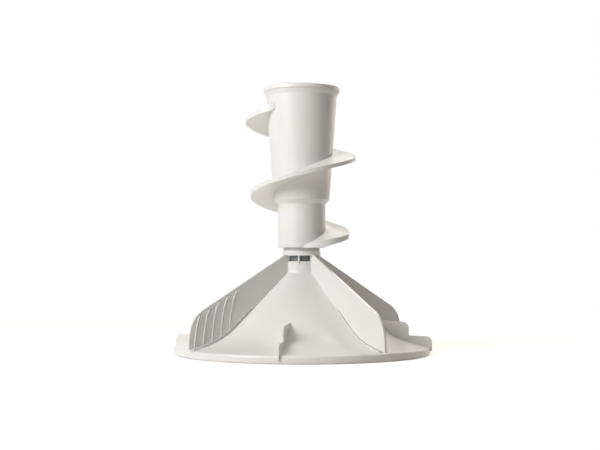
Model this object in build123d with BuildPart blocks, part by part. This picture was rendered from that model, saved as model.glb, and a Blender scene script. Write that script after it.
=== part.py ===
from build123d import *

import os
from math import atan2, cos, degrees, hypot, radians, sin, tan

# Washing machine agitator: a finned skirt that the machine turns to and fro, and an auger
# that ratchets one way round the skirt's inner column. The origin is the centre of the
# rim's foot, azimuth 0 is +X, and azimuths grow anticlockwise seen from above.

# Gaps between pieces
running_gap = 0.08  # radial, between a shaft and its bush
fit_gap = 0.05  # radial, between seated pieces that don't turn
seat_gap = 0.2  # between stacked pieces that turn or lift
free_gap = 0.3  # between pieces that pass each other

# Skirt shell
rim_radius = 170.0
rim_height = 11.0
rim_rounding = 3.5
rim_width = 8.0
cone_wall = 3.0
cone_top = 108.1
foot_length = 42.4  # from the rim's shoulder to where the cone's slope meets its foot
foot_height = 21.3
foot_rounding = 115.0
neck_radius = 23.5
neck_bore = 20.5
neck_rounding = 5.5
window_sill = 122.5
window_height = 7.5
window_post = 2.0
notch_width = 1.2
notch_depth = 3.5
collar_radius = 25.2
collar_height = 6.4
collar_edge = 0.8

# Tall flexible vanes, with a slot and a raised track under each
vane_count = 4
vane_azimuth = 35.8
vane_thickness = 3.0
vane_overhang = 3.3  # past the rim
vane_shoulder_inset = 20.0  # from the vane's tip
vane_shoulder_height = 61.0
vane_tip_height = 17.1
vane_crest_rise = 2.0
slot_start = 81.0
slot_gap = 1.5
track_height = 1.2
track_width = 5.0
track_inset = 6.0  # from the rim
rib_count = 5
rib_pitch = 12.8
rib_inset = 4.3  # from the rim
rib_width = 1.2
rib_depth = 1.2
rib_lean = 8.4
rib_lean_step = 1.25
rib_bow = 4.0
rib_margin = 4.5
edge_bead = 1.2

# Small stepped fins
fin_azimuth = 80.6
fin_thickness = 2.6
fin_length = 92.8
fin_overhang = 2.8  # past the rim
fin_ledge_length = 30.3
fin_root_height = 46.6
fin_step_height = 42.8
fin_step_rounding = 9.0
fin_ledge_rounding = 2.0
fin_ledge_height = 25.6
fin_reach_height = 24.4
fin_corner = 8.0
fin_foot_height = 5.5

# Hub under the skirt
hub_rib_count = 8
hub_rib_thickness = 2.0
hub_rib_reach = 75.0
hub_rib_foot = 78.0
boss_count = 4
boss_circle = 30.0
boss_radius = 4.5
boss_bore = 1.8
boss_depth = 16.0

# Drive column
column_radius = 18.0
column_bore = 13.2
column_foot = 40.0
column_sleeve_radius = 20.3
sleeve_bore = 17.0
flange_radius = 36.0
flange_foot = 70.0
flange_thickness = 4.0
spigot_length = 10.0
insert_seat = 59.0
web_foot = 100.0
web_thickness = 4.0
web_bore = 4.4
column_shoulder = 196.0
column_head_radius = 16.5
snap_bead = 0.9
snap_bead_height = 2.0
key_count = 4
key_width = 5.0
key_depth = 1.2

# Splined insert, shaft seal and drive bolt
insert_radius = 14.0
insert_foot = 60.0
insert_pilot = 9.6
insert_pilot_length = 20.0
spline_count = 16
spline_root = 9.6
spline_tip = 8.8
spline_gap = 1.9
insert_key_count = 4
insert_key_width = 3.0
insert_key_height = 1.2
shaft_seal_foot = 54.8
shaft_seal_height = 4.0
shaft_seal_bore = 10.0
shaft_seal_edge = 0.4
bolt_radius = 4.0
bolt_foot = 82.0
bolt_point = 0.8
bolt_flange_radius = 8.5
bolt_flange_height = 1.4
bolt_head_flats = 13.0
bolt_head_height = 5.5
washer_radius = 11.0
washer_thickness = 1.6
seal_radius = 9.0
seal_thickness = 2.0
seal_edge = 0.5
screw_radius = 1.75
screw_length = 15.0
screw_head_radius = 3.6
screw_head_height = 2.6
screw_recess_width = 1.0

# Auger body
thrust_washer_radius = 24.2
thrust_washer_thickness = 3.6
tube_radius = 31.7
tube_inner_radius = 28.9
tube_rounding = 2.5
floor_thickness = 3.5
step_foot = 198.0
step_top = 203.8
step_radius = 37.0
body_wall = 2.8
flare_height = 5.6
flare_foot_radius = 46.8
flare_radius = 50.0
auger_top = 346.6
bush_radius = 20.4
bush_flange_radius = 23.5
bush_flange_thickness = 1.5

# Flight: its root's top at azimuth 0 of its first turn, and the azimuth where it starts
flight_pitch = 102.5
flight_datum = 167.5
flight_start = -86.0
flight_full_in = 84.0
flight_end_drop = 7.7916667  # from the flare's foot down to the root's top where the flight ends
flight_fade_out = 58.0
flight_fade_bow = 0.62
flight_droop = 10.0
flight_root_thickness = 11.5
flight_edge_thickness = 2.2
flight_reach_low = 63.5
flight_reach_high = 72.5
flight_reach_heights = (158.0, 262.0)
flight_bite = 1.0

# Ratchet clutch
ratchet_count = 12
ratchet_tip = 30.5
ratchet_root = 33.5
ratchet_foot = 202.0
ratchet_height = 24.0
tooth_foot = 205.5
tooth_height = 16.0
tooth_land = 6.0
tooth_ramp = 28.0
tooth_phase = 11.0
driver_radius = 29.0
driver_height = 17.7
driver_base = 2.8
retainer_thickness = 2.5
bearing_height = 6.3
dog_count = 4
dog_pivot = (23.0, -6.0)
dog_tip = (28.2, 5.0)
dog_boss_radius = 2.8
dog_tip_radius = 1.0
dog_pin_radius = 1.5
dog_pin_length = 2.0
dog_swing = 16.0

# Barrier, its ring, and the cap
barrier_radius = 34.9
barrier_height = 20.0
barrier_floor = 2.5
barrier_inner_radius = 30.2
ring_height = 8.0
ring_section = 1.8
handle_width = 36.0
handle_height = 15.0
handle_thickness = 3.0
handle_hole_width = 22.0
handle_hole_height = 8.0
cap_radius = 50.6
cap_height = 6.5  # from its seat on the auger
cap_edge = 2.5
cap_under_edge = 0.8
cap_plate = 2.5
cap_dish_radius = 41.0
cap_dish_depth = 1.5
plug_length = 16.8
plug_wall = 2.0

# Heights and radii worked out from the sizes above
collar_top = window_sill + window_height + collar_height
crest_root = (collar_radius, window_sill + window_height + vane_crest_rise)
vane_reach = rim_radius + vane_overhang
vane_shoulder = (vane_reach - vane_shoulder_inset, vane_shoulder_height)
track_end = rim_radius - track_inset
fin_reach = rim_radius + fin_overhang
fin_step_radius = fin_reach - fin_ledge_length
fin_root = fin_reach - fin_length
rim_inner = rim_radius - rim_width
rim_shoulder = (rim_radius - rim_rounding, rim_height)
foot_corner = (rim_shoulder[0] - foot_length, foot_height)
flange_top = flange_foot + flange_thickness
auger_foot = collar_top + thrust_washer_thickness + seat_gap
shelf_height = ratchet_foot + ratchet_height
driver_foot = column_shoulder + bearing_height
driver_top = driver_foot + driver_height
retainer_top = driver_top + retainer_thickness
column_top = retainer_top + fit_gap + snap_bead_height
barrier_foot = shelf_height + seat_gap
cap_foot = auger_top + seat_gap
cap_top = cap_foot + cap_height
flare_foot = auger_top - flare_height
flight_end = (flare_foot - flight_end_drop - flight_datum) * 360 / flight_pitch
cone_taper = (flare_foot_radius - step_radius) / (flare_foot - step_top)
outer_limit = 2 * rim_radius
upper_limit = 2 * cap_top

os.makedirs("parts", exist_ok=True)


def polar(radius, azimuth):
    return (radius * cos(radians(azimuth)), radius * sin(radians(azimuth)))


def slope_between(upper, lower):
    """Degrees below level of the line from one radial point down to another."""
    return degrees(atan2(upper[1] - lower[1], lower[0] - upper[0]))


cone_slope = slope_between((neck_radius, cone_top), foot_corner)
foot_slope = slope_between(foot_corner, rim_shoulder)


def lifted(point, lift, before, after):
    """A point of the skirt's outer line, between two slopes, when the line moves out by lift."""
    reach = lift / cos(radians(before - after) / 2)
    middle = radians(before + after) / 2
    return (point[0] + reach * sin(middle), point[1] + reach * cos(middle))


def cone_corners(lift):
    """The corners of the skirt's outer line in the radial plane, from its neck to its rim."""
    return [
        lifted((neck_radius, collar_top), lift, 90, 90),
        lifted((neck_radius, cone_top), lift, 90, cone_slope),
        lifted(foot_corner, lift, cone_slope, foot_slope),
        lifted(rim_shoulder, lift, foot_slope, foot_slope),
    ]


def cone_height(radius):
    """Height at a radius of the cone's two straight slopes, without its roundings."""
    on_cone = cone_top - (radius - neck_radius) * tan(radians(cone_slope))
    on_foot = rim_height + (rim_shoulder[0] - radius) * tan(radians(foot_slope))
    return max(on_cone, on_foot)


def above_cone(lift):
    """Radial region above the skirt's outer line when the line moves out by lift."""
    top, *corners, (r1, z1) = cone_corners(lift)
    outer = (outer_limit, z1 - (outer_limit - r1) * tan(radians(foot_slope)))
    with BuildSketch() as region:
        with BuildLine():
            FilletPolyline(top, *corners, outer, radius=[neck_rounding, foot_rounding])
            Polyline(outer, (outer_limit, upper_limit), (top[0], upper_limit), top)
        make_face()
    return region.sketch_local


def body_radius(height):
    """Outer radius of the auger's tapered body."""
    return step_radius + (height - step_top) * cone_taper


def crest_height(radius):
    """Height of a vane's straight crest."""
    (r0, z0), (r1, z1) = crest_root, vane_shoulder
    return z0 + (z1 - z0) * (radius - r0) / (r1 - r0)


# Regions of the radial plane that the skirt's vanes are cut from
above_mid_wall = above_cone(-cone_wall / 2)
above_inner_face = above_cone(-cone_wall)
above_track = above_cone(track_height)
above_slot = above_cone(track_height + slot_gap)
above_bead = above_cone(track_height + slot_gap + edge_bead)

# The slot under each vane, rounded at its inner end
with BuildSketch() as slot_band:
    add(above_track)
    add(above_slot, mode=Mode.SUBTRACT)
    with Locations((slot_start, 0)):
        Rectangle(outer_limit, upper_limit, align=(Align.MIN, Align.MIN), mode=Mode.INTERSECT)
    slot_end = (slot_start, cone_height(slot_start))
    with Locations(lifted(slot_end, track_height + slot_gap / 2, cone_slope, cone_slope)):
        Circle(slot_gap / 2)

with BuildSketch() as past_track:
    with Locations((track_end, 0)):
        Rectangle(outer_limit, upper_limit, align=(Align.MIN, Align.MIN))
    add(above_slot, mode=Mode.SUBTRACT)

with BuildSketch() as vane_outline:
    with BuildLine():
        crest_end = (vane_reach, crest_height(vane_reach))
        Polyline(
            vane_shoulder,
            crest_root,
            (neck_radius - cone_wall, crest_root[1]),
            (neck_radius - cone_wall, 0),
            (vane_reach, 0),
            (vane_reach, vane_tip_height),
        )
        Bezier((vane_reach, vane_tip_height), crest_end, vane_shoulder)
    make_face()
    add(above_mid_wall, mode=Mode.INTERSECT)
    add(slot_band.sketch_local, mode=Mode.SUBTRACT)
    add(past_track.sketch_local, mode=Mode.SUBTRACT)

with BuildSketch() as vane_ribs:
    for rib in range(rib_count):
        foot = rim_radius - rib_inset - rib * rib_pitch
        head = foot - rib_lean - rib * rib_lean_step
        head_height = crest_height(head) - rib_margin
        with BuildLine():
            inner = Bezier(
                (foot, cone_height(foot)), (foot - rib_bow, head_height - rib_bow), (head, head_height)
            )
            outer = Bezier(
                (foot + rib_width, cone_height(foot)),
                (foot - rib_bow + rib_width, head_height - rib_bow),
                (head + rib_width / 2, head_height),
            )
            Line(inner @ 0, outer @ 0)
            Line(inner @ 1, outer @ 1)
        make_face()
    add(above_bead, mode=Mode.INTERSECT)

with BuildSketch() as vane_bead:
    add(above_slot)
    add(above_bead, mode=Mode.SUBTRACT)
    add(vane_outline.sketch_local, mode=Mode.INTERSECT)
    with Locations((slot_start + slot_gap, 0)):
        Rectangle(outer_limit, upper_limit, align=(Align.MIN, Align.MIN), mode=Mode.INTERSECT)

with BuildSketch() as vane_track:
    add(above_mid_wall)
    add(above_track, mode=Mode.SUBTRACT)
    with Locations((slot_start, 0)):
        Rectangle(
            track_end - slot_start, upper_limit, align=(Align.MIN, Align.MIN), mode=Mode.INTERSECT
        )

# One vane in the plane of azimuth 0, with its track, and its ribs and edge bead on one face
with BuildPart() as vane:
    with BuildSketch(Plane.XZ):
        add(vane_outline.sketch_local)
    extrude(amount=vane_thickness / 2, both=True)
    with BuildSketch(Plane.XZ):
        add(vane_ribs.sketch_local)
        add(vane_bead.sketch_local)
    extrude(amount=-vane_thickness / 2 - rib_depth)
    with BuildSketch(Plane.XZ):
        add(vane_track.sketch_local)
    extrude(amount=track_width / 2, both=True)

# One stepped fin in the plane of azimuth 0
with BuildPart() as fin:
    with BuildSketch(Plane.XZ):
        with BuildLine():
            FilletPolyline(
                (fin_root, fin_foot_height),
                (fin_root, fin_root_height),
                (fin_step_radius, fin_step_height),
                (fin_step_radius, fin_ledge_height),
                (fin_reach, fin_reach_height),
                (fin_reach, fin_foot_height),
                (rim_inner, fin_foot_height),
                radius=[0, fin_step_rounding, fin_ledge_rounding, fin_corner, 0],
            )
            Line((rim_inner, fin_foot_height), (fin_root, fin_foot_height))
        make_face()
    extrude(amount=fin_thickness / 2, both=True)

# The hollow under the skirt, with its hub, ribs and screw bosses left standing
with BuildPart() as bell_hollow:
    with BuildSketch(Plane.XZ):
        with Locations((0, -rim_height)):
            Rectangle(rim_inner, rim_height + cone_top, align=(Align.MIN, Align.MIN))
        add(above_inner_face, mode=Mode.SUBTRACT)
        with Locations((0, flange_top)):
            Rectangle(neck_radius, cone_top, align=(Align.MIN, Align.MIN), mode=Mode.SUBTRACT)
        with Locations((0, -rim_height)):
            Rectangle(neck_bore, 2 * rim_height + collar_top, align=(Align.MIN, Align.MIN))
    revolve(axis=Axis.Z)
    with BuildSketch(Plane.XY.offset(hub_rib_foot)):
        with PolarLocations(neck_bore, hub_rib_count, start_angle=vane_azimuth):
            Rectangle(hub_rib_reach, hub_rib_thickness, align=(Align.MIN, Align.CENTER))
        Circle(neck_bore + fit_gap, mode=Mode.SUBTRACT)
    extrude(amount=cone_top, mode=Mode.SUBTRACT)
    with BuildSketch(Plane.XY.offset(flange_top)):
        with PolarLocations(boss_circle, boss_count, start_angle=fin_azimuth):
            Circle(boss_radius)
    extrude(amount=cone_top, mode=Mode.SUBTRACT)

with BuildPart() as skirt:
    with BuildSketch(Plane.XZ):
        with BuildLine():
            FilletPolyline(
                (neck_radius, window_sill),
                *cone_corners(0)[1:-1],
                (rim_radius, rim_height - rim_rounding * tan(radians(foot_slope))),
                (rim_radius, 0),
                (0, 0),
                radius=[neck_rounding, foot_rounding, rim_rounding, rim_rounding],
            )
            Polyline(
                (0, 0),
                (0, collar_top),
                (collar_radius, collar_top),
                (collar_radius, window_sill + window_height),
                (neck_radius, window_sill + window_height),
                (neck_radius, window_sill),
            )
        make_face()
    revolve(axis=Axis.Z)
    chamfer(skirt.edges().filter_by(GeomType.CIRCLE).sort_by(Axis.Z)[-1], collar_edge)
    with BuildSketch(Plane.XY.offset(window_sill)):
        Circle(collar_radius)
        Circle(neck_bore, mode=Mode.SUBTRACT)
    extrude(amount=window_height, mode=Mode.SUBTRACT)
    with BuildSketch(Plane.XY.offset(window_sill)):
        for azimuth, width in ((vane_azimuth, vane_thickness), (fin_azimuth, window_post)):
            with PolarLocations(0, vane_count, start_angle=azimuth):
                Rectangle(collar_radius, width, align=(Align.MIN, Align.CENTER))
        Circle(neck_radius, mode=Mode.INTERSECT)
    extrude(amount=window_height)
    with PolarLocations(0, vane_count, start_angle=vane_azimuth):
        add(vane.part)
    with PolarLocations(0, vane_count, start_angle=fin_azimuth):
        add(fin.part)
    add(bell_hollow.part, mode=Mode.SUBTRACT)
    with BuildSketch(Plane.XY.offset(flange_top)):
        with PolarLocations(boss_circle, boss_count, start_angle=fin_azimuth):
            Circle(boss_bore)
    extrude(amount=boss_depth, mode=Mode.SUBTRACT)
    with BuildSketch(Plane.XY.offset(window_sill - notch_depth)):
        with PolarLocations(neck_radius, vane_count, start_angle=fin_azimuth):
            with Locations((0, (window_post + notch_width) / 2)):
                Rectangle(2 * cone_wall, notch_width)
    extrude(amount=notch_depth, mode=Mode.SUBTRACT)

with BuildPart() as drive_column:
    with BuildSketch(Plane.XZ):
        with BuildLine():
            Polyline(
                (sleeve_bore, column_foot),
                (column_sleeve_radius, column_foot),
                (column_sleeve_radius, flange_foot),
                (flange_radius, flange_foot),
                (flange_radius, flange_top),
                (column_sleeve_radius, flange_top),
                (column_sleeve_radius, flange_top + spigot_length),
                (column_radius, flange_top + spigot_length),
                (column_radius, column_shoulder),
                (column_head_radius, column_shoulder),
                (column_head_radius, retainer_top + fit_gap),
                (column_head_radius + snap_bead, retainer_top + 2 * fit_gap),
                (column_head_radius, column_top),
                (column_bore, column_top),
                (column_bore, web_foot + web_thickness),
                (web_bore, web_foot + web_thickness),
                (web_bore, web_foot),
                (insert_radius + fit_gap, web_foot),
                (insert_radius + fit_gap, insert_seat),
                (sleeve_bore, insert_seat),
                close=True,
            )
        make_face()
    revolve(axis=Axis.Z)
    with BuildSketch(Plane.XY.offset(column_shoulder + bearing_height)):
        with PolarLocations(column_head_radius, key_count):
            Rectangle(2 * key_depth, key_width)
    extrude(amount=driver_height, mode=Mode.SUBTRACT)
    with BuildSketch(Plane.XY.offset(insert_seat)):
        with PolarLocations(insert_radius, insert_key_count, start_angle=fin_azimuth):
            Rectangle(2 * (insert_key_height + fit_gap), insert_key_width + 2 * fit_gap)
    extrude(amount=web_foot - insert_seat, mode=Mode.SUBTRACT)
    with BuildSketch(Plane.XY.offset(flange_foot)):
        with PolarLocations(boss_circle, boss_count, start_angle=fin_azimuth):
            Circle(boss_bore)
    extrude(amount=flange_thickness, mode=Mode.SUBTRACT)

with BuildPart() as spline_insert:
    with BuildSketch(Plane.XY.offset(insert_foot)):
        Circle(insert_radius)
        with PolarLocations(insert_radius, insert_key_count, start_angle=fin_azimuth):
            Rectangle(2 * insert_key_height, insert_key_width)
        Circle(insert_pilot, mode=Mode.SUBTRACT)
    extrude(amount=insert_pilot_length)
    with BuildSketch(Plane.XY.offset(insert_foot + insert_pilot_length)):
        Circle(insert_radius)
        with PolarLocations(insert_radius, insert_key_count, start_angle=fin_azimuth):
            Rectangle(2 * insert_key_height, insert_key_width)
        Circle(spline_tip, mode=Mode.SUBTRACT)
        with PolarLocations((spline_root + spline_tip) / 2, spline_count):
            Rectangle(spline_root - spline_tip + free_gap, spline_gap, mode=Mode.SUBTRACT)
    extrude(amount=web_foot - fit_gap - insert_foot - insert_pilot_length)

# Rubber ring with a lip at its bore
with BuildPart() as shaft_seal:
    with BuildSketch(Plane.XZ) as seal_section:
        with BuildLine():
            Polyline(
                (sleeve_bore - fit_gap, shaft_seal_foot),
                (sleeve_bore - fit_gap, shaft_seal_foot + shaft_seal_height),
                (shaft_seal_bore, shaft_seal_foot + shaft_seal_height),
                (shaft_seal_bore, shaft_seal_foot + shaft_seal_height / 2),
                (shaft_seal_bore + shaft_seal_height / 2, shaft_seal_foot),
                close=True,
            )
        make_face()
        chamfer(seal_section.vertices(), shaft_seal_edge)
    revolve(axis=Axis.Z)

# Drive bolt with its seal and washer, stacked on the column's web
seal_foot = web_foot + web_thickness
washer_foot = seal_foot + seal_thickness
bolt_flange_foot = washer_foot + washer_thickness
bolt_head_foot = bolt_flange_foot + bolt_flange_height

with BuildPart() as bolt_seal:
    with BuildSketch(Plane.XY.offset(seal_foot)):
        Circle(seal_radius)
        Circle(bolt_radius + free_gap, mode=Mode.SUBTRACT)
    extrude(amount=seal_thickness)
    chamfer(bolt_seal.edges().filter_by(GeomType.CIRCLE).sort_by(SortBy.RADIUS)[-2:], seal_edge)

with BuildPart() as bolt_washer:
    with BuildSketch(Plane.XY.offset(washer_foot)):
        Circle(washer_radius)
        Circle(bolt_radius + free_gap, mode=Mode.SUBTRACT)
    extrude(amount=washer_thickness)

with BuildPart() as drive_bolt:
    with BuildSketch(Plane.XY.offset(bolt_foot)):
        Circle(bolt_radius)
    extrude(amount=bolt_flange_foot - bolt_foot)
    chamfer(drive_bolt.edges().sort_by(Axis.Z)[0], bolt_point)
    with BuildSketch(Plane.XY.offset(bolt_flange_foot)):
        Circle(bolt_flange_radius)
    extrude(amount=bolt_flange_height)
    with BuildSketch(Plane.XY.offset(bolt_head_foot)):
        RegularPolygon(bolt_head_flats / 2, 6, major_radius=False)
    extrude(amount=bolt_head_height)

with BuildPart() as hub_screws:
    with BuildSketch(Plane.XY.offset(flange_foot - screw_head_height)):
        with PolarLocations(boss_circle, boss_count, start_angle=fin_azimuth):
            Circle(screw_head_radius)
            Rectangle(screw_head_radius, screw_recess_width, mode=Mode.SUBTRACT)
            Rectangle(screw_recess_width, screw_head_radius, mode=Mode.SUBTRACT)
    extrude(amount=screw_head_height / 2)
    with BuildSketch(Plane.XY.offset(flange_foot - screw_head_height / 2)):
        with PolarLocations(boss_circle, boss_count, start_angle=fin_azimuth):
            Circle(screw_head_radius)
    extrude(amount=screw_head_height / 2)
    with BuildSketch(Plane.XY.offset(flange_foot)):
        with PolarLocations(boss_circle, boss_count, start_angle=fin_azimuth):
            Circle(screw_radius)
    extrude(amount=screw_length)

with BuildPart() as thrust_washer:
    with BuildSketch(Plane.XY.offset(collar_top)):
        Circle(thrust_washer_radius)
        Circle(column_radius + free_gap, mode=Mode.SUBTRACT)
    extrude(amount=thrust_washer_thickness)

# The flight's section swept along a helix from azimuth 0, wider than the flight and trimmed later
flight_turns = (flight_end - flight_start) / 360
flight_reach_slope = (flight_reach_high - flight_reach_low) / (
    flight_reach_heights[1] - flight_reach_heights[0]
)
flight_root = tube_radius - flight_bite
sweep_reach = flight_reach_high * 1.2

with BuildPart() as flight_sweep:
    with BuildLine():
        Helix(pitch=flight_pitch, height=flight_pitch * flight_turns, radius=tube_radius)
    with BuildSketch(Plane.XZ):
        drop = (sweep_reach - flight_root) * tan(radians(flight_droop))
        with BuildLine():
            Polyline(
                (flight_root, 0),
                (sweep_reach, -drop),
                (sweep_reach, -drop - flight_edge_thickness),
                (flight_root, -flight_root_thickness),
                close=True,
            )
        make_face()
    sweep(is_frenet=True)


def fade_cutter(tip, spread, inner, outer, low, high):
    """A wedge seen from above that leaves no flight at tip and its full reach a spread on."""
    with BuildPart() as cutter:
        with BuildSketch(Plane.XY.offset(low)):
            with BuildLine():
                middle = polar(inner + flight_fade_bow * (outer - inner), tip + spread / 2)
                ThreePointArc(polar(inner, tip), middle, polar(outer, tip + spread))
                Polyline(
                    polar(outer, tip + spread),
                    polar(2 * outer, tip + spread),
                    polar(3 * outer, tip + spread / 2),
                    polar(2 * outer, tip - spread / 4),
                    (0, 0),
                    polar(inner, tip),
                )
            make_face()
        extrude(amount=high - low)
    return cutter.part


def flight_height(azimuth):
    return flight_datum + flight_pitch * azimuth / 360


def flight_reach(height):
    return flight_reach_low + (height - flight_reach_heights[0]) * flight_reach_slope


start_cutter = fade_cutter(
    flight_start,
    flight_full_in,
    flight_root,
    flight_reach_low + flight_bite,
    0,
    flight_height(flight_start) + flight_pitch / 2,
)
end_cutter = fade_cutter(
    flight_end,
    -flight_fade_out,
    body_radius(flight_height(flight_end)) - flight_bite,
    flight_reach(flight_height(flight_end - flight_fade_out)) + flight_bite,
    flight_height(flight_end - flight_fade_out) - flight_pitch / 3,
    upper_limit,
)

# The auger's outer form, which the flight is moulded on
with BuildPart() as auger_form:
    with BuildSketch(Plane.XZ):
        with BuildLine():
            Polyline(
                (0, auger_foot),
                (tube_radius, auger_foot),
                (tube_radius, step_foot),
                (step_radius, step_top),
                (flare_foot_radius, flare_foot),
                (flare_radius, auger_top),
                (0, auger_top),
                close=True,
            )
        make_face()
    revolve(axis=Axis.Z)
    fillet(auger_form.edges().filter_by(GeomType.CIRCLE).sort_by(Axis.Z)[0], tube_rounding)

with BuildPart() as flight:
    with Locations(Location((0, 0, flight_height(flight_start)), (0, 0, flight_start))):
        add(flight_sweep.part)
    with BuildSketch(Plane.XZ):
        with BuildLine():
            Polyline(
                (0, auger_foot),
                (flight_reach(auger_foot), auger_foot),
                (flight_reach(flare_foot), flare_foot),
                (0, flare_foot),
                close=True,
            )
        make_face()
    revolve(axis=Axis.Z, mode=Mode.INTERSECT)
    add(start_cutter, mode=Mode.SUBTRACT)
    add(end_cutter, mode=Mode.SUBTRACT)
    add(auger_form.part, mode=Mode.SUBTRACT)

# One ratchet tooth: a steep flank at its azimuth, a land, and a ramp back to the ring
with BuildSketch() as tooth:
    with BuildLine():
        Polyline(
            polar(ratchet_tip, 0),
            polar(ratchet_tip, tooth_land),
            polar(ratchet_root, tooth_ramp),
            polar(ratchet_root + body_wall / 2, tooth_ramp / 2),
            polar(ratchet_root + body_wall / 2, 0),
            close=True,
        )
    make_face()

# The auger's inside, with the ratchet teeth left standing
with BuildPart() as auger_hollow:
    with BuildSketch(Plane.XZ):
        with BuildLine():
            Polyline(
                (0, auger_foot - floor_thickness),
                (bush_radius + fit_gap, auger_foot - floor_thickness),
                (bush_radius + fit_gap, auger_foot + floor_thickness),
                (tube_inner_radius, auger_foot + floor_thickness),
                (tube_inner_radius, ratchet_foot),
                (ratchet_root, ratchet_foot),
                (ratchet_root, shelf_height),
                (body_radius(shelf_height) - body_wall, shelf_height),
                (body_radius(cap_top) - body_wall, cap_top),
                (0, cap_top),
                close=True,
            )
        make_face()
    revolve(axis=Axis.Z)
    with BuildSketch(Plane.XY.offset(tooth_foot)):
        with PolarLocations(0, ratchet_count, start_angle=tooth_phase):
            add(tooth.sketch_local)
    extrude(amount=tooth_height, mode=Mode.SUBTRACT)

with BuildPart() as auger:
    add(auger_form.part)
    add(auger_hollow.part, mode=Mode.SUBTRACT)

with BuildPart() as auger_bush:
    with BuildSketch(Plane.XY.offset(auger_foot)):
        Circle(bush_radius)
        Circle(column_radius + running_gap, mode=Mode.SUBTRACT)
    extrude(amount=floor_thickness)
    with BuildSketch(Plane.XY.offset(auger_foot + floor_thickness)):
        Circle(bush_flange_radius)
        Circle(column_radius + running_gap, mode=Mode.SUBTRACT)
    extrude(amount=bush_flange_thickness)

with BuildPart() as upper_bearing:
    with BuildSketch(Plane.XY.offset(column_shoulder)):
        Circle(tube_inner_radius - running_gap)
        Circle(column_head_radius + fit_gap, mode=Mode.SUBTRACT)
    extrude(amount=bearing_height)

# Clutch: the dogs swing about their pins, clockwise seen from above, to reach the teeth
dog_arm = hypot(dog_tip[0] - dog_pivot[0], dog_tip[1] - dog_pivot[1])
dog_rest_angle = degrees(atan2(dog_tip[1] - dog_pivot[1], dog_tip[0] - dog_pivot[0]))
dog_foot = driver_foot + driver_base + free_gap
dog_top = driver_top - free_gap


def dog_tip_at(swing):
    reach = polar(dog_arm, dog_rest_angle - swing)
    return (dog_pivot[0] + reach[0], dog_pivot[1] + reach[1])


with BuildSketch() as pocket:
    with Locations(dog_pivot):
        Circle(dog_boss_radius + free_gap)
    with Locations(dog_tip_at(0), dog_tip_at(dog_swing)):
        Circle(dog_tip_radius + free_gap)
    make_hull()

with BuildPart() as clutch_driver:
    with BuildSketch(Plane.XY.offset(driver_foot)):
        Circle(driver_radius)
        Circle(column_head_radius + fit_gap, mode=Mode.SUBTRACT)
    extrude(amount=driver_height)
    with BuildSketch(Plane.XY.offset(driver_foot + driver_base)):
        with PolarLocations(0, dog_count):
            add(pocket.sketch_local)
    extrude(amount=driver_height, mode=Mode.SUBTRACT)
    with BuildSketch(Plane.XY.offset(driver_foot)):
        with PolarLocations(0, dog_count):
            with Locations(dog_pivot):
                Circle(dog_pin_radius + running_gap)
    extrude(amount=driver_base, mode=Mode.SUBTRACT)
    with BuildSketch(Plane.XY.offset(driver_foot)):
        with PolarLocations(column_head_radius, key_count):
            Rectangle(2 * (key_depth - fit_gap), key_width - 2 * fit_gap)
    extrude(amount=driver_height)

with BuildPart() as dog_retainer:
    with BuildSketch(Plane.XY.offset(driver_top)):
        Circle(driver_radius)
        Circle(column_head_radius + fit_gap, mode=Mode.SUBTRACT)
        with PolarLocations(0, dog_count):
            with Locations(dog_pivot):
                Circle(dog_pin_radius + running_gap, mode=Mode.SUBTRACT)
    extrude(amount=retainer_thickness)

with BuildPart() as dog:
    with BuildSketch(Plane.XY.offset(dog_foot)):
        with Locations(dog_pivot):
            Circle(dog_boss_radius)
        with Locations(dog_tip):
            Circle(dog_tip_radius)
        make_hull()
    extrude(amount=dog_top - dog_foot)
    with BuildSketch(Plane.XY.offset(dog_foot - dog_pin_length)):
        with Locations(dog_pivot):
            Circle(dog_pin_radius)
    extrude(amount=dog_top - dog_foot + 2 * dog_pin_length)

# Barrier over the clutch, and the ring in its groove
ring_centre = body_radius(barrier_foot + ring_height) - body_wall - running_gap - ring_section
ring_middle = barrier_foot + ring_height

with BuildPart() as barrier_cap:
    with BuildSketch(Plane.XZ):
        with BuildLine():
            Polyline(
                (0, barrier_foot),
                (barrier_radius, barrier_foot),
                (barrier_radius, ring_middle - ring_section - fit_gap),
                (ring_centre - ring_section - fit_gap, ring_middle - ring_section - fit_gap),
                (ring_centre - ring_section - fit_gap, ring_middle + ring_section + fit_gap),
                (barrier_radius, ring_middle + ring_section + fit_gap),
                (barrier_radius, barrier_foot + barrier_height),
                (barrier_inner_radius, barrier_foot + barrier_height),
                (barrier_inner_radius, barrier_foot + barrier_floor),
                (0, barrier_foot + barrier_floor),
                close=True,
            )
        make_face()
    revolve(axis=Axis.Z)
    with BuildSketch(Plane.XZ):
        with Locations((0, barrier_foot + barrier_floor)):
            Rectangle(handle_width, handle_height, align=(Align.CENTER, Align.MIN))
            Rectangle(
                handle_hole_width,
                handle_hole_height,
                align=(Align.CENTER, Align.MIN),
                mode=Mode.SUBTRACT,
            )
    extrude(amount=handle_thickness / 2, both=True)

with BuildPart() as barrier_o_ring:
    with BuildSketch(Plane.XZ):
        with Locations((ring_centre, ring_middle)):
            Circle(ring_section)
    revolve(axis=Axis.Z)

# Cap with a plug that follows the auger's taper
plug_top_radius = body_radius(cap_foot) - body_wall - free_gap
plug_foot_radius = body_radius(cap_foot - plug_length) - body_wall - free_gap
cap_dish_height = cap_top - cap_dish_depth

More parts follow.
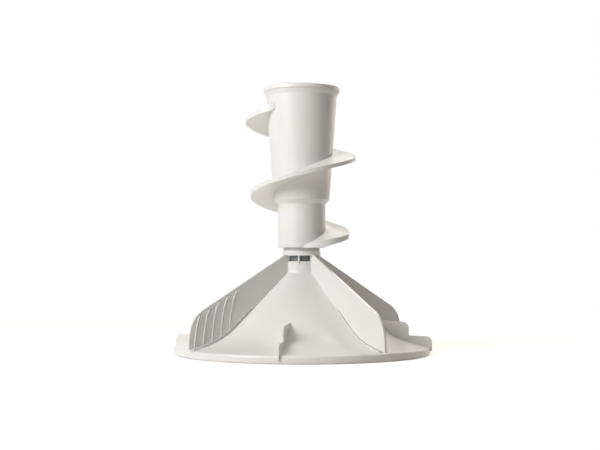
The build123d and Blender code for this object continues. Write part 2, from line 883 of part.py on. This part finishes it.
with BuildPart() as cap:
    with BuildSketch(Plane.XZ):
        with BuildLine():
            FilletPolyline(
                (0, cap_dish_height),
                (cap_dish_radius, cap_dish_height),
                (cap_dish_radius + cap_dish_depth, cap_top),
                (cap_radius, cap_top),
                (cap_radius, cap_foot + cap_under_edge),
                (cap_radius - cap_under_edge, cap_foot),
                (plug_top_radius, cap_foot),
                (plug_foot_radius, cap_foot - plug_length),
                (plug_foot_radius - plug_wall, cap_foot - plug_length),
                (plug_top_radius - plug_wall, cap_dish_height - cap_plate),
                (0, cap_dish_height - cap_plate),
                radius=[0, 0, cap_edge, 0, 0, 0, 0, 0, 0],
            )
            Line((0, cap_dish_height - cap_plate), (0, cap_dish_height))
        make_face()
    revolve(axis=Axis.Z)

# Every piece by its name
pieces = {
    "skirt": skirt.part,
    "drive_column": drive_column.part,
    "spline_insert": spline_insert.part,
    "shaft_seal": shaft_seal.part,
    "bolt_seal": bolt_seal.part,
    "bolt_washer": bolt_washer.part,
    "drive_bolt": drive_bolt.part,
    "hub_screws": hub_screws.part,
    "thrust_washer": thrust_washer.part,
    "auger": auger.part,
    "flight": flight.part,
    "auger_bush": auger_bush.part,
    "upper_bearing": upper_bearing.part,
    "clutch_driver": clutch_driver.part,
    "dog_retainer": dog_retainer.part,
    "barrier_cap": barrier_cap.part,
    "barrier_o_ring": barrier_o_ring.part,
    "cap": cap.part,
}
for number in range(dog_count):
    pieces[f"dog_{number + 1}"] = dog.part.rotate(Axis.Z, number * 360 / dog_count)

for name, piece in pieces.items():
    piece.label = name
    export_step(piece, f"parts/{name}.step")
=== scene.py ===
from math import cos, radians, sin

import bpy
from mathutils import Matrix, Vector

# Washing machine agitator in white moulded plastic, on a white floor.
# Metres, in the CAD model's frame: the axis is Z and the rim stands on the floor at z = 0.

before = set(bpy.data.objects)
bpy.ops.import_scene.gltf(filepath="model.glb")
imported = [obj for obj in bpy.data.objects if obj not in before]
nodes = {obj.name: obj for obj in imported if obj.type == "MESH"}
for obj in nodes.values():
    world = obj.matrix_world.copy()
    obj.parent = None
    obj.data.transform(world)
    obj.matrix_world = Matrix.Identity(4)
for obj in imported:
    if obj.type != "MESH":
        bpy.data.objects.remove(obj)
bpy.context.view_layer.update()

# Camera: level at the height of the neck, with a long lens and the view shifted up to the auger
CAMERA_PLACE = (-0.0021, -1.508, 0.1217)
CAMERA_LENS = 67.98
SENSOR_WIDTH = 36.0
VIEW_SHIFT = 0.0615
LEVEL = radians(90)

# Soft round lamps about the object: azimuth, elevation, size, power in watts, colour
LAMP_AIM = (0.0, 0.0, 0.17)
LAMP_REACH = 1.75
LAMPS = {
    "key": (222, 25, 1.0, 24.6, (1.0, 0.995, 1.0)),
    "top": (250, 80, 1.2, 7.6, (1.0, 0.93, 0.83)),
    "back_high": (60, 50, 1.0, 13.4, (1.0, 0.945, 0.85)),
    "back_low": (45, 18, 1.0, 3.8, (1.0, 0.78, 0.66)),
}

# Floor: its half width, colour, lift where it is seen, and where it fades into the plain backdrop
FLOOR_REACH = 6.0
FLOOR_COLOUR = (0.88, 0.868, 0.85, 1.0)
FLOOR_LIFT = 0.45
FADE_BAND = (0.35, 1.1)
BACKDROP_WHITE = 1.0

# Plastics: light tone, shade tone, roughness
WHITE = ((0.80, 0.79, 0.775), (0.782, 0.772, 0.757), 0.30)
CHARCOAL = ((0.210, 0.222, 0.230), (0.175, 0.186, 0.192), 0.42)
PALE_GREY = ((0.62, 0.62, 0.61), (0.56, 0.56, 0.55), 0.45)
ACETAL = ((0.70, 0.70, 0.67), (0.62, 0.62, 0.59), 0.30)
PLASTIC_IOR = 1.49

# Bands of a noise's values, from where a blend starts to where it is complete
CLOUD_BAND = (0.35, 0.65)
STREAK_BAND = (0.30, 0.75)
MID_BAND = (0.3, 0.7)

# Sockets of the Mix node in its colour mode
MIX_FIRST, MIX_SECOND, MIX_RESULT = 6, 7, 2


class Shader:
    """Builds the node tree of one material or of the world."""

    def __init__(self, owner, output="ShaderNodeOutputMaterial"):
        self.owner = owner
        owner.use_nodes = True
        self.tree = owner.node_tree
        self.tree.nodes.clear()
        self.output = self.add(output)

    def add(self, kind, **settings):
        node = self.tree.nodes.new(kind)
        for key, value in settings.items():
            setattr(node, key, value)
        return node

    def join(self, source, target):
        self.tree.links.new(source, target)

    def place(self):
        return self.add("ShaderNodeTexCoord").outputs["Object"]

    def noise(self, scale, detail=2.0, rough=0.5):
        node = self.add("ShaderNodeTexNoise")
        self.join(self.place(), node.inputs["Vector"])
        node.inputs["Scale"].default_value = scale
        node.inputs["Detail"].default_value = detail
        node.inputs["Roughness"].default_value = rough
        return node.outputs["Fac"]

    def spread(self, source, band, to=(0.0, 1.0), **settings):
        """Spreads this band of the source's values over another range."""
        node = self.add("ShaderNodeMapRange", **settings)
        self.join(source, node.inputs["Value"])
        for end, start, stop in zip(("Min", "Max"), band, to):
            node.inputs["From " + end].default_value = start
            node.inputs["To " + end].default_value = stop
        return node.outputs["Result"]

    def blend(self, factor, first, second):
        node = self.add("ShaderNodeMix", data_type="RGBA")
        self.join(factor, node.inputs["Factor"])
        for socket, value in ((MIX_FIRST, first), (MIX_SECOND, second)):
            if isinstance(value, tuple):
                node.inputs[socket].default_value = (*value, 1.0)
            else:
                self.join(value, node.inputs[socket])
        return node.outputs[MIX_RESULT]

    def soft_edges(self, radius):
        node = self.add("ShaderNodeBevel", samples=6)
        node.inputs["Radius"].default_value = radius
        return node.outputs["Normal"]

    def bump(self, height, depth, strength, under):
        node = self.add("ShaderNodeBump")
        node.inputs["Strength"].default_value = strength
        node.inputs["Distance"].default_value = depth
        self.join(height, node.inputs["Height"])
        self.join(under, node.inputs["Normal"])
        return node.outputs["Normal"]

    def glow(self, kind, strength):
        node = self.add(kind)
        node.inputs["Color"].default_value = (1.0, 1.0, 1.0, 1.0)
        node.inputs["Strength"].default_value = strength
        return node.outputs[0]

    def seen_or_mirrored(self):
        """1 where a camera, glossy or transmission ray looks."""
        path = self.add("ShaderNodeLightPath")
        total = path.outputs["Is Camera Ray"]
        for ray in ("Is Glossy Ray", "Is Transmission Ray"):
            node = self.add("ShaderNodeMath", operation="MAXIMUM")
            self.join(total, node.inputs[0])
            self.join(path.outputs[ray], node.inputs[1])
            total = node.outputs[0]
        return total

    def either(self, factor, first, second):
        """The first shader where the factor is 0, the second where it is 1."""
        node = self.add("ShaderNodeMixShader")
        for socket, source in zip(node.inputs, (factor, first, second)):
            self.join(source, socket)
        return node.outputs[0]

    def both(self, first, second):
        node = self.add("ShaderNodeAddShader")
        self.join(first, node.inputs[0])
        self.join(second, node.inputs[1])
        return node.outputs[0]

    def surface(self, shader):
        """Ends the tree in this shader."""
        self.join(shader, self.output.inputs["Surface"])
        return self.owner

    def principled(self, colour, roughness, normal, **constants):
        node = self.add("ShaderNodeBsdfPrincipled")
        self.join(colour, node.inputs["Base Color"])
        self.join(roughness, node.inputs["Roughness"])
        self.join(normal, node.inputs["Normal"])
        for key, value in constants.items():
            node.inputs[key].default_value = value
        return self.surface(node.outputs["BSDF"])


def moulded(name, tones):
    """Injection-moulded plastic: faint flow clouds, a spark-eroded grain and softened edges."""
    light, shade, gloss = tones
    s = Shader(bpy.data.materials.new(name))
    clouds = s.noise(scale=14.0, detail=3.0)
    flow = s.noise(scale=90.0, detail=4.0, rough=0.6)
    grain = s.noise(scale=1800.0, rough=0.6)
    colour = s.blend(s.spread(clouds, CLOUD_BAND), shade, light)
    colour = s.blend(s.spread(flow, STREAK_BAND, to=(0.0, 0.5)), colour, light)
    roughness = s.spread(flow, MID_BAND, to=(gloss - 0.02, gloss + 0.03))
    normal = s.bump(flow, depth=0.0002, strength=0.04, under=s.soft_edges(0.0005))
    normal = s.bump(grain, depth=0.00003, strength=0.5, under=normal)
    return s.principled(colour, roughness, normal, IOR=PLASTIC_IOR)


def steel(name):
    """Bare steel with a fine grain and an uneven polish."""
    s = Shader(bpy.data.materials.new(name))
    flow = s.noise(scale=300.0, detail=4.0, rough=0.7)
    grain = s.noise(scale=4000.0)
    colour = s.blend(s.spread(flow, MID_BAND), (0.50, 0.50, 0.49), (0.62, 0.61, 0.59))
    roughness = s.spread(flow, MID_BAND, to=(0.26, 0.42))
    normal = s.bump(grain, depth=0.00002, strength=0.4, under=s.soft_edges(0.0003))
    return s.principled(colour, roughness, normal, Metallic=1.0)


def rubber(name):
    """Black rubber, matt and slightly blotched."""
    s = Shader(bpy.data.materials.new(name))
    flow = s.noise(scale=220.0, detail=4.0, rough=0.7)
    grain = s.noise(scale=2600.0)
    colour = s.blend(s.spread(flow, MID_BAND), (0.018, 0.018, 0.019), (0.034, 0.034, 0.034))
    roughness = s.spread(flow, MID_BAND, to=(0.62, 0.78))
    normal = s.bump(grain, depth=0.00004, strength=0.5, under=s.soft_edges(0.0003))
    return s.principled(colour, roughness, normal)


finishes = {
    moulded("white_plastic", WHITE): ["skirt", "auger", "flight", "cap", "barrier_cap"],
    moulded("dark_plastic", CHARCOAL): [
        "drive_column", "spline_insert", "clutch_driver", "dog_retainer"
    ],
    moulded("bearing_plastic", PALE_GREY): ["thrust_washer"],
    moulded("acetal", ACETAL): [
        "upper_bearing", "auger_bush", "dog_1", "dog_2", "dog_3", "dog_4"
    ],
    steel("steel"): ["bolt_washer", "drive_bolt", "hub_screws"],
    rubber("rubber"): ["shaft_seal", "bolt_seal", "barrier_o_ring"],
}
for material, names in finishes.items():
    for name in names:
        mesh = nodes[name].data
        mesh.materials.clear()
        mesh.materials.append(material)


def link(name, data):
    thing = bpy.data.objects.new(name, data)
    bpy.context.collection.objects.link(thing)
    return thing


def lamp(name, azimuth, elevation, size, power, colour):
    """A disk lamp that faces the object from these angles in degrees."""
    light = bpy.data.lights.new(name, "AREA")
    light.shape = "DISK"
    light.size = size
    light.energy = power
    light.color = colour
    turn, tilt = radians(azimuth), radians(elevation)
    away = Vector((cos(tilt) * cos(turn), cos(tilt) * sin(turn), sin(tilt)))
    holder = link(name, light)
    holder.location = Vector(LAMP_AIM) + LAMP_REACH * away
    holder.rotation_mode = "QUATERNION"
    holder.rotation_quaternion = away.to_track_quat("Z", "Y")


for name, facts in LAMPS.items():
    lamp(name, *facts)

# World: no light of its own, plain white where it is seen or mirrored
world = bpy.data.worlds.new("studio")
bpy.context.scene.world = world
s = Shader(world, "ShaderNodeOutputWorld")
unlit = s.glow("ShaderNodeBackground", 0.0)
white = s.glow("ShaderNodeBackground", BACKDROP_WHITE)
s.surface(s.either(s.seen_or_mirrored(), unlit, white))

# Floor: matt, lifted to white where it is seen or mirrored, with the object's shadow kept.
# Past the shadow it fades into the plain white backdrop.
r = FLOOR_REACH
floor_mesh = bpy.data.meshes.new("floor")
floor_mesh.from_pydata([(-r, -r, 0), (r, -r, 0), (r, r, 0), (-r, r, 0)], [], [(0, 1, 2, 3)])
link("floor", floor_mesh)

s = Shader(bpy.data.materials.new("floor_white"))
diffuse = s.add("ShaderNodeBsdfDiffuse")
diffuse.inputs["Color"].default_value = FLOOR_COLOUR
matt = diffuse.outputs[0]
distance = s.add("ShaderNodeVectorMath", operation="LENGTH")
s.join(s.place(), distance.inputs[0])
fade = s.spread(distance.outputs["Value"], FADE_BAND, interpolation_type="SMOOTHSTEP")
near = s.both(matt, s.glow("ShaderNodeEmission", FLOOR_LIFT))
seen = s.either(fade, near, s.glow("ShaderNodeEmission", BACKDROP_WHITE))
floor_mesh.materials.append(s.surface(s.either(s.seen_or_mirrored(), matt, seen)))

camera = link("camera", bpy.data.cameras.new("camera"))
camera.location = CAMERA_PLACE
camera.rotation_euler = (LEVEL, 0, 0)
camera.data.sensor_width = SENSOR_WIDTH
camera.data.lens = CAMERA_LENS
camera.data.shift_y = VIEW_SHIFT
bpy.context.scene.camera = camera
bpy.context.scene.view_settings.view_transform = "Standard"
